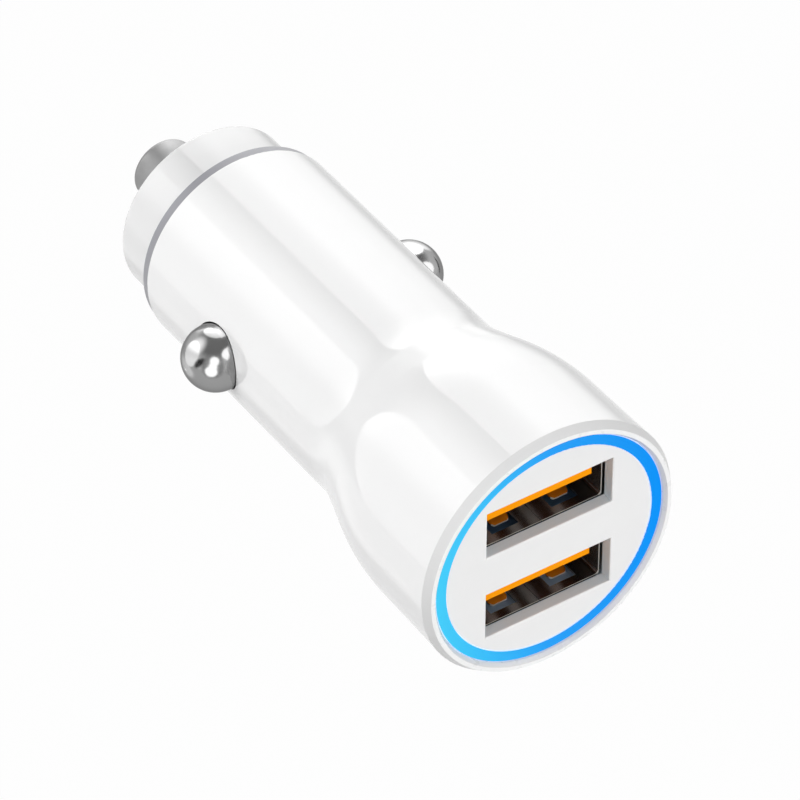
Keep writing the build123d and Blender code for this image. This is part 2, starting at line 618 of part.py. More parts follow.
# Centre contact: a turned pin with a flange inside the nose and a short spigot for its spring
spring_bore = PIN_FLANGE_RADIUS - CENTRE_SPRING_CLEARANCE - CENTRE_WIRE_DIAMETER
with BuildPart() as centre_contact:
    with BuildSketch(Plane.XY) as turned:
        with BuildLine():
            Polyline(
                (0, PIN_END_Y),
                (PIN_RADIUS, PIN_END_Y),
                (PIN_RADIUS, PIN_FLANGE_Y + PIN_FLANGE_THICKNESS),
                (PIN_FLANGE_RADIUS, PIN_FLANGE_Y + PIN_FLANGE_THICKNESS),
                (PIN_FLANGE_RADIUS, PIN_FLANGE_Y),
                (spring_bore - CENTRE_SPRING_CLEARANCE, PIN_FLANGE_Y),
                (spring_bore - CENTRE_SPRING_CLEARANCE, PIN_FLANGE_Y - PIN_SPIGOT_LENGTH),
                (0, PIN_FLANGE_Y - PIN_SPIGOT_LENGTH),
                close=True,
            )
        make_face()
        fillet(turned.vertices().sort_by_distance((PIN_RADIUS, PIN_END_Y))[0], radius=PIN_END_ROUND)
    revolve(axis=Axis.Y)
save(centre_contact.part, "centre_contact")

centre_spring = make_coil(
    (0, TERMINAL_FACE_Y, 0),
    (0, 1, 0),
    CENTRE_SPRING_LENGTH,
    spring_bore + CENTRE_WIRE_DIAMETER / 2,
    CENTRE_WIRE_DIAMETER,
    CENTRE_SPRING_TURNS,
)
save(centre_spring, "centre_spring")

# Centre terminal: the pressed cup under the spring, with two legs astride the board's end
terminal_bore = PIN_FLANGE_RADIUS - CENTRE_SPRING_CLEARANCE / 2
with BuildPart() as centre_terminal:
    with BuildSketch(across(BOARD_END_Y)):
        Circle(terminal_bore + TERMINAL_RIM_WALL)
    extrude(amount=-(TERMINAL_THICKNESS + TERMINAL_RIM_HEIGHT))
    with BuildSketch(across(TERMINAL_FACE_Y)):
        Circle(terminal_bore)
    extrude(amount=-TERMINAL_RIM_HEIGHT, mode=Mode.SUBTRACT)
    with BuildSketch(across(BOARD_END_Y)):
        with GridLocations(MAIN_BOARD_THICKNESS + TERMINAL_THICKNESS, 0, 2, 1):
            Rectangle(TERMINAL_THICKNESS, TERMINAL_LEG_WIDTH)
    extrude(amount=TERMINAL_LEG_LENGTH)
save(centre_terminal.part, "centre_terminal")

# Places of the parts on the main board, spread along the room from the carrier to the port board
right_row = (INDUCTOR_DIAMETER, CHIP_LENGTH, DIODE_WIDTH)
row_room = CARRIER_FRONT_Y - PORT_BOARD_BACK_Y - TAIL_LENGTH
row_gap = (row_room - sum(right_row)) / (len(right_row) + 1)
inductor_y = CARRIER_FRONT_Y - row_gap - INDUCTOR_DIAMETER / 2
can_y = CARRIER_FRONT_Y - row_gap - CAN_DIAMETER / 2
output_can_y = can_y - CAN_DIAMETER - row_gap
chip_y = inductor_y - INDUCTOR_DIAMETER / 2 - row_gap - CHIP_LENGTH / 2
diode_y = chip_y - CHIP_LENGTH / 2 - row_gap - DIODE_WIDTH / 2
upper_row_z = MAIN_BOARD_HALF_HEIGHT - PART_SPACING - CHIP_WIDTH / 2 - LEAD_REACH / 2
small_row_z = CAN_DIAMETER / 2 + PART_SPACING + CERAMIC_SIZE[1] / 2
RIGHT_FACE = Plane.YZ.offset(BOARD_FACE)
LEFT_FACE = Plane.YZ.offset(-BOARD_FACE)

# Inductor: a ferrite drum with its copper winding between the flanges
with BuildPart() as inductor_core:
    with BuildSketch(RIGHT_FACE):
        with Locations((inductor_y, 0)):
            Circle(INDUCTOR_DIAMETER / 2)
    extrude(amount=INDUCTOR_HEIGHT)
    with BuildSketch(RIGHT_FACE.offset(INDUCTOR_FLANGE)):
        with Locations((inductor_y, 0)):
            Circle(INDUCTOR_DIAMETER / 2)
            Circle(INDUCTOR_POST_DIAMETER / 2, mode=Mode.SUBTRACT)
    extrude(amount=INDUCTOR_HEIGHT - 2 * INDUCTOR_FLANGE, mode=Mode.SUBTRACT)
save(inductor_core.part, "inductor_core")

with BuildPart() as inductor_winding:
    with BuildSketch(RIGHT_FACE.offset(INDUCTOR_FLANGE)):
        with Locations((inductor_y, 0)):
            Circle(INDUCTOR_DIAMETER / 2 - WINDING_SETBACK)
            Circle(INDUCTOR_POST_DIAMETER / 2, mode=Mode.SUBTRACT)
    extrude(amount=INDUCTOR_HEIGHT - 2 * INDUCTOR_FLANGE)
save(inductor_winding.part, "inductor_winding")


def make_can(centre_y, height):
    """Electrolytic can standing on the board's left face, grooved above its rubber seal."""
    can_radius = CAN_DIAMETER / 2
    foot = -BOARD_FACE
    groove = foot - CAN_GROOVE_HEIGHT
    with BuildPart() as can:
        with BuildSketch(Plane.XY) as outline:
            with BuildLine():
                Polyline(
                    (foot, centre_y),
                    (foot, centre_y + can_radius),
                    (groove + CAN_GROOVE, centre_y + can_radius),
                    (groove, centre_y + can_radius - CAN_GROOVE),
                    (groove - CAN_GROOVE, centre_y + can_radius),
                    (foot - height, centre_y + can_radius),
                    (foot - height, centre_y),
                    close=True,
                )
            make_face()
            crown = outline.vertices().sort_by_distance((foot - height, centre_y + can_radius))[0]
            fillet(crown, radius=CAN_EDGE_ROUND)
        revolve(axis=Axis((0, centre_y, 0), (1, 0, 0)))
    return can.part


input_can_reach = sqrt((BARREL_BORE - CAN_HOUSING_CLEARANCE) ** 2 - (CAN_DIAMETER / 2) ** 2)
save(make_can(can_y, input_can_reach - BOARD_FACE), "input_capacitor")
save(make_can(output_can_y, OUTPUT_CAN_HEIGHT), "output_capacitor")


def make_chip(centre_y, centre_z, length, width, height, leads):
    """Moulded chip on the board's right face with a row of bent leads along each side."""
    lead_span = width + LEAD_REACH
    with BuildPart() as chip:
        with BuildSketch(RIGHT_FACE.offset(CHIP_STANDOFF)):
            with Locations((centre_y, centre_z)):
                Rectangle(length, width)
        extrude(amount=height)
        chamfer(chip.faces().sort_by(Axis.X)[-1].edges(), length=CHIP_EDGE)
        with BuildSketch(RIGHT_FACE):
            with Locations((centre_y, centre_z)):
                with GridLocations(LEAD_PITCH, lead_span, leads, 2):
                    Rectangle(LEAD_WIDTH, LEAD_REACH)
        extrude(amount=LEAD_THICKNESS)
    return chip.part


save(make_chip(chip_y, upper_row_z, CHIP_LENGTH, CHIP_WIDTH, CHIP_HEIGHT, 4), "buck_controller")
save(make_chip(chip_y, -upper_row_z, CHIP_LENGTH, CHIP_WIDTH, CHIP_HEIGHT, 4), "port_controller")

# Rectifier diode across the board, between the chips and the port board
with BuildPart() as rectifier_diode:
    with BuildSketch(RIGHT_FACE):
        with Locations((diode_y, 0)):
            Rectangle(DIODE_WIDTH, DIODE_LENGTH)
    extrude(amount=DIODE_HEIGHT)
    chamfer(rectifier_diode.faces().sort_by(Axis.X)[-1].edges(), length=CHIP_EDGE)
save(rectifier_diode.part, "rectifier_diode")

# Small chip parts in two rows on the left face, above and below the cans
for name, size, row_z in (
    ("chip_resistors", RESISTOR_SIZE, small_row_z),
    ("chip_capacitors", CERAMIC_SIZE, -small_row_z),
):
    with BuildPart() as small_parts:
        with BuildSketch(LEFT_FACE):
            with Locations((can_y - CAN_DIAMETER / 2, row_z)):
                with GridLocations(SMALL_PART_PITCH, 0, 4, 1):
                    Rectangle(size[0], size[1])
        extrude(amount=-size[2])
    save(small_parts.part, name)
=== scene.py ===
import json
from math import cos, pi, radians, sin, tan
import bmesh
import bpy
from mathutils import Matrix, Vector


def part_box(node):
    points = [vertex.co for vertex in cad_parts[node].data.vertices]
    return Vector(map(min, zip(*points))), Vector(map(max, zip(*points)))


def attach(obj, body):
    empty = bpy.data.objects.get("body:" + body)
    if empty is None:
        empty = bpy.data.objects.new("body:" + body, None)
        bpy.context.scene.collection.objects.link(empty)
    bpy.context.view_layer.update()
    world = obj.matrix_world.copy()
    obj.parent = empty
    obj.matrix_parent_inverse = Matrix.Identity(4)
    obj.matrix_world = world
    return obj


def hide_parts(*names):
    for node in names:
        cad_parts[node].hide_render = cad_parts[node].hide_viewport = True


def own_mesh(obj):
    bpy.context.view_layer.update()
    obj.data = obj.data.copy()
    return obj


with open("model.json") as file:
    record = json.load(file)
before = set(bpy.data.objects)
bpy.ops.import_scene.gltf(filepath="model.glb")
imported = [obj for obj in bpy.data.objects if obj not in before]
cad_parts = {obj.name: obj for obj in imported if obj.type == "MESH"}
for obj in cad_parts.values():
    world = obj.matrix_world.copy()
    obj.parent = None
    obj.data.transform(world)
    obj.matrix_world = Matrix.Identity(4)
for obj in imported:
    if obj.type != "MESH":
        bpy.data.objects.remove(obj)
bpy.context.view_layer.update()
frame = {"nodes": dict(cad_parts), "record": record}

MM = 0.001
NODES = frame["nodes"]


# Camera, set to the photograph's view of the plug
CAMERA_AZIMUTH = radians(-33.894)
CAMERA_ELEVATION = radians(41.284)
CAMERA_ROLL = radians(0.099)
CAMERA_LENS_MM = 268.04
CAMERA_SENSOR_MM = 36.0
CAMERA_CLIP_MM = 1.0
PANEL_IN_VIEW = Vector((13.015, -12.930, 518.723)) * MM


def add_camera():
    """Camera whose own right, up and depth axes see the panel's middle at PANEL_IN_VIEW."""
    panel_low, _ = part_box("front_panel")
    panel_middle = Vector((0, panel_low.y, 0))
    back = Vector((
        sin(CAMERA_AZIMUTH) * cos(CAMERA_ELEVATION),
        -cos(CAMERA_AZIMUTH) * cos(CAMERA_ELEVATION),
        sin(CAMERA_ELEVATION),
    ))
    level = Vector((cos(CAMERA_AZIMUTH), sin(CAMERA_AZIMUTH), 0))
    raised = back.cross(level)
    right = level * cos(CAMERA_ROLL) + raised * sin(CAMERA_ROLL)
    up = raised * cos(CAMERA_ROLL) - level * sin(CAMERA_ROLL)
    place = panel_middle - right * PANEL_IN_VIEW.x - up * PANEL_IN_VIEW.y + back * PANEL_IN_VIEW.z
    data = bpy.data.cameras.new("camera")
    data.lens = CAMERA_LENS_MM
    data.sensor_width = CAMERA_SENSOR_MM
    data.clip_start = CAMERA_CLIP_MM * MM
    camera = bpy.data.objects.new("camera", data)
    camera.matrix_world = Matrix.Translation(place) @ Matrix((right, up, back)).transposed().to_4x4()
    bpy.context.scene.collection.objects.link(camera)
    bpy.context.scene.camera = camera


# Node helpers shared by every material
WHITE = (1, 1, 1, 1)
FRONT = (0, -1, 0)
ACROSS_Y = (1, 0, 1)
ALIKE = (1, 1, 1)
NOISE_DETAIL = 3.0
# The part of its range that a noise mostly fills
MIDDLE_RANGE = (0.3, 0.7)
# Places of the factor, the two inputs and the output among a mix node's sockets
MIX_SOCKETS = {"FLOAT": (0, 2, 3, 0), "RGBA": (0, 6, 7, 2)}
# Where a ramp's further stops start out, before each gets its own place
NEW_STOP = 0.5


def grey(level):
    """Colour with the same level in all three channels."""
    return (level, level, level)


def add_node(tree, kind, **values):
    """New shader node with its named input sockets set."""
    node = tree.nodes.new(kind)
    for name, value in values.items():
        node.inputs[name.replace("_", " ")].default_value = value
    return node


def vector_math(tree, operation, vector, other=None):
    """Vector math node on a vector and, where the operation takes one, another fixed vector."""
    node = tree.nodes.new("ShaderNodeVectorMath")
    node.operation = operation
    tree.links.new(vector, node.inputs[0])
    if other is not None:
        node.inputs[1].default_value = other
    return node


def scaled(tree, vector, factor):
    """Vector or colour times a number."""
    node = vector_math(tree, "SCALE", vector)
    node.inputs["Scale"].default_value = factor
    return node.outputs[0]


def number_math(tree, operation, first, second=None):
    """Result of a math node, whose second value is another node's output, a number or not needed."""
    node = tree.nodes.new("ShaderNodeMath")
    node.operation = operation
    tree.links.new(first, node.inputs[0])
    if isinstance(second, bpy.types.NodeSocket):
        tree.links.new(second, node.inputs[1])
    elif second is not None:
        node.inputs[1].default_value = second
    return node.outputs[0]


def coordinate(tree, vector, axis):
    """One coordinate of a vector."""
    split = tree.nodes.new("ShaderNodeSeparateXYZ")
    tree.links.new(vector, split.inputs[0])
    return split.outputs[axis]


def map_range(tree, value, start, end, **values):
    """Map range node that reads a value from start to end."""
    node = add_node(tree, "ShaderNodeMapRange", From_Min=start, From_Max=end, **values)
    tree.links.new(value, node.inputs["Value"])
    return node


def between(tree, fac, low, high):
    """Value that runs from low to high as a noise or a zone runs over its middle range."""
    return map_range(tree, fac, *MIDDLE_RANGE, To_Min=low, To_Max=high).outputs["Result"]


def ease(tree, value, start, end):
    """Value that runs smoothly from none at the start to one at the end."""
    run = map_range(tree, value, start, end)
    run.interpolation_type = "SMOOTHSTEP"
    return run.outputs["Result"]


def colour_ramp(tree, fac, stops):
    """Colour that runs through stops, each a position from none to one and a colour."""
    ramp = tree.nodes.new("ShaderNodeValToRGB")
    elements = ramp.color_ramp.elements
    while len(elements) < len(stops):
        elements.new(NEW_STOP)
    for element, (position, colour) in zip(elements, stops):
        element.position = position
        element.color = (*colour, 1)
    tree.links.new(fac, ramp.inputs["Fac"])
    return ramp.outputs["Color"]


def shade(tree, fac, colour, spread):
    """Colour that is a little darker and lighter in turn."""
    darker = [min(1.0, c * (1 - spread)) for c in colour]
    lighter = [min(1.0, c * (1 + spread)) for c in colour]
    return colour_ramp(tree, fac, ((0.0, darker), (1.0, lighter)))


def blend(tree, kind, fac, first, second):
    """Number or colour that turns from one to another."""
    mix = tree.nodes.new("ShaderNodeMix")
    mix.data_type = kind
    fac_at, first_at, second_at, out_at = MIX_SOCKETS[kind]
    tree.links.new(fac, mix.inputs[fac_at])
    tree.links.new(first, mix.inputs[first_at])
    tree.links.new(second, mix.inputs[second_at])
    return mix.outputs[out_at]


def mix_shaders(tree, fac, first, second):
    """Shader that turns from one to another."""
    mix = tree.nodes.new("ShaderNodeMixShader")
    tree.links.new(fac, mix.inputs["Fac"])
    tree.links.new(first, mix.inputs[1])
    tree.links.new(second, mix.inputs[2])
    return mix.outputs[0]


def noise(tree, place, size, stretch=ALIKE):
    """Noise with features of about the given size in millimetres, drawn out along some axes."""
    fit = vector_math(tree, "MULTIPLY", place, [1 / (size * s) for s in stretch])
    cloud = add_node(tree, "ShaderNodeTexNoise", Scale=1.0, Detail=NOISE_DETAIL)
    tree.links.new(fit.outputs[0], cloud.inputs["Vector"])
    return cloud.outputs["Fac"]


def bump(tree, shader, height, depth):
    """Surface relief of the given depth in millimetres."""
    node = add_node(tree, "ShaderNodeBump", Strength=1.0, Distance=depth * MM)
    tree.links.new(height, node.inputs["Height"])
    tree.links.new(node.outputs["Normal"], shader.inputs["Normal"])


# Zones: functions that give a share from none to one for each place on a node
def along_y(start, end):
    """Zone that sets in between two places along Y, in millimetres."""
    def zone(tree, place):
        return ease(tree, coordinate(tree, place, "Y"), start, end)
    return zone


def about_y(start, end):
    """Zone that sets in between two radii about Y, in millimetres."""
    def zone(tree, place):
        flat = vector_math(tree, "MULTIPLY", place, ACROSS_Y)
        reach = vector_math(tree, "LENGTH", flat.outputs[0])
        return ease(tree, reach.outputs["Value"], start, end)
    return zone


def facing_front(start, end):
    """Zone of faces that look to the front, which sets in between two cosines."""
    def zone(tree, _):
        look = tree.nodes.new("ShaderNodeTexCoord")
        ahead = vector_math(tree, "DOT_PRODUCT", look.outputs["Normal"], FRONT)
        return ease(tree, ahead.outputs["Value"], start, end)
    return zone


def reach_past(tree, value, limit):
    """How far the size of a value is past a limit."""
    return number_math(tree, "SUBTRACT", number_math(tree, "ABSOLUTE", value), limit)


def about_ports(pitch, half_width, half_height, start, end):
    """Zone that sets in between two distances out from the mouths of two ports, one above the other."""
    def zone(tree, place):
        aside = reach_past(tree, coordinate(tree, place, "X"), half_width)
        from_port = reach_past(tree, coordinate(tree, place, "Z"), pitch / 2)
        above = reach_past(tree, from_port, half_height)
        return ease(tree, number_math(tree, "MAXIMUM", aside, above), start, end)
    return zone


def both(first, second):
    """Zone that two zones share."""
    def zone(tree, place):
        return number_math(tree, "MULTIPLY", first(tree, place), second(tree, place))
    return zone


# Share by which a surface's roughness drifts to each side
ROUGH_SPREAD = 0.15
# Grooves of turned or wound metal: a wave node turns so many radians for each unit of length
WAVE_RADIANS = 20
WAVE_BEND = 0.4
WAVE_DETAIL = 1.0
WAVE_PATCH = 1.5


def start_material(name):
    """Material with its Principled shader, and object coordinates in millimetres."""
    material = bpy.data.materials.new(name)
    material.use_nodes = True
    tree = material.node_tree
    place = tree.nodes.new("ShaderNodeTexCoord")
    return material, tree, tree.nodes["Principled BSDF"], scaled(tree, place.outputs["Object"], 1 / MM)


def rough_about(tree, fac, middle):
    """Roughness that drifts about a middle value."""
    return between(tree, fac, middle * (1 - ROUGH_SPREAD), middle * (1 + ROUGH_SPREAD))


def surface(name, colour, roughness, metallic=0.0, spread=0.03, patch=3.0, grain=0.3, depth=0.002,
            stretch=ALIKE, specular=0.5, tint=1.0, coat=0.0, zones=()):
    """
    Moulded, plated or drawn surface: colour and gloss that drift in patches, over a fine grain.
    Each zone has a colour and a roughness of its own.
    """
    material, tree, shader, place = start_material(name)
    drift = noise(tree, place, patch)
    fine = noise(tree, place, grain, stretch)
    paint = shade(tree, drift, colour, spread)
    rough = rough_about(tree, fine, roughness)
    for zone, zone_colour, zone_roughness in zones:
        share = zone(tree, place)
        paint = blend(tree, "RGBA", share, paint, shade(tree, drift, zone_colour, spread))
        rough = blend(tree, "FLOAT", share, rough, rough_about(tree, fine, zone_roughness))
    tree.links.new(paint, shader.inputs["Base Color"])
    tree.links.new(rough, shader.inputs["Roughness"])
    shader.inputs["Metallic"].default_value = metallic
    shader.inputs["Specular IOR Level"].default_value = specular
    shader.inputs["Specular Tint"].default_value = (*grey(tint), 1)
    shader.inputs["Coat Weight"].default_value = coat
    bump(tree, shader, fine, depth)
    return material


def rippled(name, colour, roughness, axis, pitch, depth, spread):
    """Turned or wound metal with a groove every pitch millimetres along an axis."""
    material, tree, shader, place = start_material(name)
    wave = add_node(tree, "ShaderNodeTexWave", Scale=2 * pi / (WAVE_RADIANS * pitch), Distortion=WAVE_BEND,
                    Detail=WAVE_DETAIL)
    wave.wave_type = "BANDS"
    wave.bands_direction = axis
    tree.links.new(place, wave.inputs["Vector"])
    tree.links.new(shade(tree, wave.outputs["Fac"], colour, spread), shader.inputs["Base Color"])
    tree.links.new(rough_about(tree, noise(tree, place, WAVE_PATCH), roughness), shader.inputs["Roughness"])
    shader.inputs["Metallic"].default_value = 1
    bump(tree, shader, wave.outputs["Fac"], depth)
    return material


# Ring light: cyan on the left turning to blue on the right, as the guide carries it
RING_COLOURS = (
    (0.0, (0.062, 0.620, 0.960)),
    (0.25, (0.044, 0.500, 0.950)),
    (0.5, (0.025, 0.355, 0.940)),
    (0.88, (0.009, 0.305, 0.930)),
    (1.0, (0.003, 0.295, 0.960)),
)
RING_GRAIN = 0.4
RING_RELIEF = 0.002
RING_ROUGHNESS = (0.45, 0.55)
RING_SPECULAR = 0.01
# Share of the ring's brightness that is its own light, and the light that falls on its face
RING_GLOW = 0.55
RING_LIGHT = 1.03
# Pale light that leaks from the guide's sides, and the cosines where its front edge takes over
LEAK_COLOUR = (0.72, 0.78, 1.0)
LEAK_SPREAD = 0.02
LEAK_LIGHT = 0.95
LEAK_COSINES = (0.3, 0.5)


def lit_ring(name):
    """Light guide whose front edge glows and whose sides leak a little light."""
    material, tree, shader, place = start_material(name)
    low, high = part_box("light_guide")
    across = map_range(tree, coordinate(tree, place, "X"), low.x / MM, high.x / MM)
    colour = colour_ramp(tree, across.outputs["Result"], RING_COLOURS)
    fine = noise(tree, place, RING_GRAIN)
    front = facing_front(*LEAK_COSINES)(tree, place)
    leak = shade(tree, fine, LEAK_COLOUR, LEAK_SPREAD)
    tree.links.new(blend(tree, "RGBA", front, leak, colour), shader.inputs["Emission Color"])
    tree.links.new(between(tree, front, LEAK_LIGHT, RING_GLOW), shader.inputs["Emission Strength"])
    tree.links.new(scaled(tree, colour, (1 - RING_GLOW) / RING_LIGHT), shader.inputs["Base Color"])
    shader.inputs["Specular IOR Level"].default_value = RING_SPECULAR
    tree.links.new(between(tree, fine, *RING_ROUGHNESS), shader.inputs["Roughness"])
    bump(tree, shader, fine, RING_RELIEF)
    return material


# Boards: solder mask, and the tracks that show through it
MASK_COLOUR = (0.020, 0.150, 0.055)
MASK_SPREAD = 0.5
MASK_GRAIN = 0.5
MASK_ROUGHNESS = (0.28, 0.4)
TRACK_SCALE = 0.8
TRACK_RELIEF = 0.02


def circuit_board(name):
    """Green solder mask over faint tracks."""
    material, tree, shader, place = start_material(name)
    tracks = add_node(tree, "ShaderNodeTexVoronoi", Scale=TRACK_SCALE)
    tracks.distance = "MANHATTAN"
    tree.links.new(place, tracks.inputs["Vector"])
    mask = shade(tree, tracks.outputs["Distance"], MASK_COLOUR, MASK_SPREAD)
    tree.links.new(mask, shader.inputs["Base Color"])
    fine = noise(tree, place, MASK_GRAIN)
    tree.links.new(between(tree, fine, *MASK_ROUGHNESS), shader.inputs["Roughness"])
    bump(tree, shader, tracks.outputs["Distance"], TRACK_RELIEF)
    return material


# Satin rim of the head: it ends behind the face, with a bevel outside its lip and a chamfer inside. The bevel
# and the chamfer are greyed with painted shade; the lip stays near the body's white
RIM_DEPTHS = (0.88, 0.80)
BEVEL_INSETS = (0.50, 0.46)
CHAMFER_INSETS = (0.88, 0.92)
LIP_COLOUR = grey(0.86)
LIP_ROUGHNESS = 0.3
# The chamfer and bevel colours are painted shade on the same white plastic
CHAMFER_PAINTED_SHADE = (0.71, 0.68, 0.66)
BEVEL_PAINTED_SHADE = grey(0.66)
BEVEL_ROUGHNESS = 0.4


def rim_zones():
    """Lip of the housing, and the chamfer and bevel beside it, both of these greyed with painted shade."""
    low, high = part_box("housing")
    rim = along_y(*(low.y / MM + depth for depth in RIM_DEPTHS))
    chamfer = about_y(*(high.x / MM - inset for inset in CHAMFER_INSETS))
    bevel = about_y(*(high.x / MM - inset for inset in BEVEL_INSETS))
    return (
        (rim, LIP_COLOUR, LIP_ROUGHNESS),
        # The chamfer and bevel zones carry painted shade
        (both(rim, chamfer), CHAMFER_PAINTED_SHADE, LIP_ROUGHNESS),
        (both(rim, bevel), BEVEL_PAINTED_SHADE, BEVEL_ROUGHNESS),
    )


# Walls of the slots, behind the panel's face, painted a cool tint that cancels the orange light the tongues
# bounce onto them
SLOT_DEPTHS = (0.02, 0.3)
# Painted cool tint against the tongues' orange bounce light, not the walls' own colour
SLOT_PAINTED_COOL_TINT = (0.74, 0.81, 0.86)
SLOT_ROUGHNESS = 0.6


def slot_zones():
    """Walls of the port slots in the front panel, painted a cool tint against the orange light bounced from
    the tongues.
    """
    low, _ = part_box("front_panel")
    walls = along_y(*(low.y / MM + depth for depth in SLOT_DEPTHS))
    return ((walls, SLOT_PAINTED_COOL_TINT, SLOT_ROUGHNESS),)


# Front-facing edges of the socket shells, with a painted highlight at the mouth and painted shadow outside
# it, and their spring fingers, painted orange as a reflection of the tongues
SHELL_WALL = 0.22
EDGE_COSINES = (0.3, 0.5)
# Cream painted highlight on the shell's faces that look to the front
EDGE_PAINTED_HIGHLIGHT = (0.82, 0.79, 0.74)
EDGE_ROUGHNESS = 0.5
DARK_EDGE_REACH = (0.07, 0.10)
# Near-black painted shadow on the front edges outside the mouths
EDGE_PAINTED_SHADOW = grey(0.02)
FINGER_REACH = (-0.15, -0.20)
# Orange painted reflection of the tongues on the steel fingers
FINGER_PAINTED_REFLECTION = (0.72, 0.23, 0.010)
FINGER_ROUGHNESS = 0.5


def shell_zones():
    """Spring fingers painted orange as a reflection of the tongues, and front-facing edges of the socket
    shells with a painted highlight at the mouth and painted shadow outside it.
    """
    low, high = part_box("upper_usb_shell")
    pitch = (low.z + high.z) / MM
    half_width = high.x / MM - SHELL_WALL
    half_height = (high.z - low.z) / 2 / MM - SHELL_WALL
    fingers = about_ports(pitch, half_width, half_height, *FINGER_REACH)
    outside = about_ports(pitch, half_width, half_height, *DARK_EDGE_REACH)
    edges = facing_front(*EDGE_COSINES)
    return (
        # Fingers get the painted reflection of the tongues
        (fingers, FINGER_PAINTED_REFLECTION, FINGER_ROUGHNESS),
        # Painted highlight on front-facing faces
        (edges, EDGE_PAINTED_HIGHLIGHT, EDGE_ROUGHNESS),
        # Painted shadow on front-facing edges outside the mouths
        (both(edges, outside), EDGE_PAINTED_SHADOW, EDGE_ROUGHNESS),
    )


# Shade along the tongues
TONGUE_DEPTHS = (0.15, 1.0)
TONGUE_SHADE = (0.12, 0.036, 0.003)
TONGUE_ROUGHNESS = 0.5


def tongue_zones():
    """Shaded rear of the tongues."""
    low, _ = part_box("upper_usb_tongue")
    rear = along_y(*(low.y / MM + depth for depth in TONGUE_DEPTHS))
    return ((rear, TONGUE_SHADE, TONGUE_ROUGHNESS),)


# How far the grain of drawn metal is stretched along an axis
DRAWN_WIRE = (8, 1, 1)
DRAWN_CAN = (12, 1, 1)
ROLLED_SHELL = (1, 12, 1)
ROLLED_PIN = (1, 10, 1)
# Nodes that differ from others in their slot; the upper socket's pad gets a darker copy of the pad material
# as painted shade
NODE_MATERIALS = {"nose_collar": "nose_white", "upper_socket_pad": "pad_painted_shade"}


def make_materials():
    """One material for each slot of the record, and those of NODE_MATERIALS."""
    return {
        "white_gloss": surface("white_gloss", grey(0.87), roughness=0.03, spread=0.006, patch=9, grain=0.8,
                               depth=0.0002, zones=rim_zones()),
        "nose_white": surface("nose_white", grey(0.80), roughness=0.03, spread=0.006, patch=9, grain=0.8,
                              depth=0.0002),
        "panel_white": surface("panel_white", grey(0.80), roughness=0.5, spread=0.01, patch=2, grain=0.12,
                               depth=0.004, zones=slot_zones()),
        "ring_blue": lit_ring("ring_blue"),
        "seam_grey": surface("seam_grey", (0.27, 0.27, 0.295), roughness=0.4, spread=0.05, grain=0.15,
                             depth=0.003),
        "contact_chrome": surface("contact_chrome", grey(0.31), roughness=0.15, metallic=1, grain=0.25,
                                  depth=0.0004, tint=0.5),
        "pin_nickel": rippled("pin_nickel", grey(0.17), roughness=0.45, axis="Y", pitch=0.12, depth=0.0015,
                              spread=0.04),
        "spring_steel": surface("spring_steel", (0.55, 0.55, 0.56), roughness=0.25, metallic=1, grain=0.08,
                                stretch=DRAWN_WIRE),
        "tinned_brass": surface("tinned_brass", (0.62, 0.60, 0.55), roughness=0.32, metallic=1, spread=0.06,
                                patch=1.5),
        "carrier_black": surface("carrier_black", grey(0.03), roughness=0.45, spread=0.2, grain=0.15,
                                 depth=0.005),
        "socket_steel": surface("socket_steel", (0.38, 0.37, 0.36), roughness=0.22, metallic=1, spread=0.06,
                                grain=0.06, stretch=ROLLED_SHELL, depth=0.0015, zones=shell_zones()),
        "tongue_orange": surface("tongue_orange", (1.0, 0.335, 0.003), roughness=0.5, patch=2, grain=0.1,
                                 depth=0.003, specular=0.02, zones=tongue_zones()),
        "pin_tin": surface("pin_tin", (0.70, 0.68, 0.66), roughness=0.6, metallic=0.2, grain=0.06,
                           stretch=ROLLED_PIN),
        "pad_slate": surface("pad_slate", (0.50, 0.66, 0.84), roughness=0.5, spread=0.06, grain=0.15,
                             depth=0.004),
        # Darker copy of pad_slate for the upper socket's pad: painted shade
        "pad_painted_shade": surface("pad_painted_shade", (0.10, 0.20, 0.34), roughness=0.5, spread=0.06, grain=0.15,
                            depth=0.004),
        "board_green": circuit_board("board_green"),
        "led_white": surface("led_white", (0.85, 0.85, 0.75), roughness=0.15, spread=0.04, coat=0.5),
        "ferrite": surface("ferrite", (0.07, 0.07, 0.075), roughness=0.6, spread=0.25, grain=0.1, depth=0.01),
        "copper": rippled("copper", (0.70, 0.30, 0.13), roughness=0.25, axis="X", pitch=0.3, depth=0.06,
                          spread=0.15),
        "can_aluminium": surface("can_aluminium", (0.75, 0.75, 0.77), roughness=0.28, metallic=1, grain=0.08,
                                 stretch=DRAWN_CAN, depth=0.0015),
        "chip_black": surface("chip_black", grey(0.02), roughness=0.5, spread=0.3, grain=0.08, depth=0.006),
        "ceramic_tan": surface("ceramic_tan", (0.45, 0.30, 0.17), roughness=0.4, spread=0.1, patch=0.5),
    }


def dress_nodes(materials):
    """Give each CAD node the material of its slot in the record, or its own."""
    for row in frame["record"]["subparts"]:
        material = materials[NODE_MATERIALS.get(row["node"], row["material_slot"])]
        for slot in NODES[row["node"]].material_slots:
            slot.material = material


# Coil springs with closed ends
CLOSED_TURNS = 1.0
POINTS_PER_TURN = 28
WIRE_SIDES = 10
ALONG_X = (1, 0, 0)
ALONG_Y = (0, 1, 0)
# Each spring: node, joint, the way from its fixed end along its axis, that axis, wire in millimetres, turns
SPRINGS = (
    ("left_spring", "left_press", -1, ALONG_X, 0.5, 6.5),
    ("right_spring", "right_press", 1, ALONG_X, 0.5, 6.5),
    ("centre_spring", "centre_press", 1, ALONG_Y, 0.6, 5.5),
)


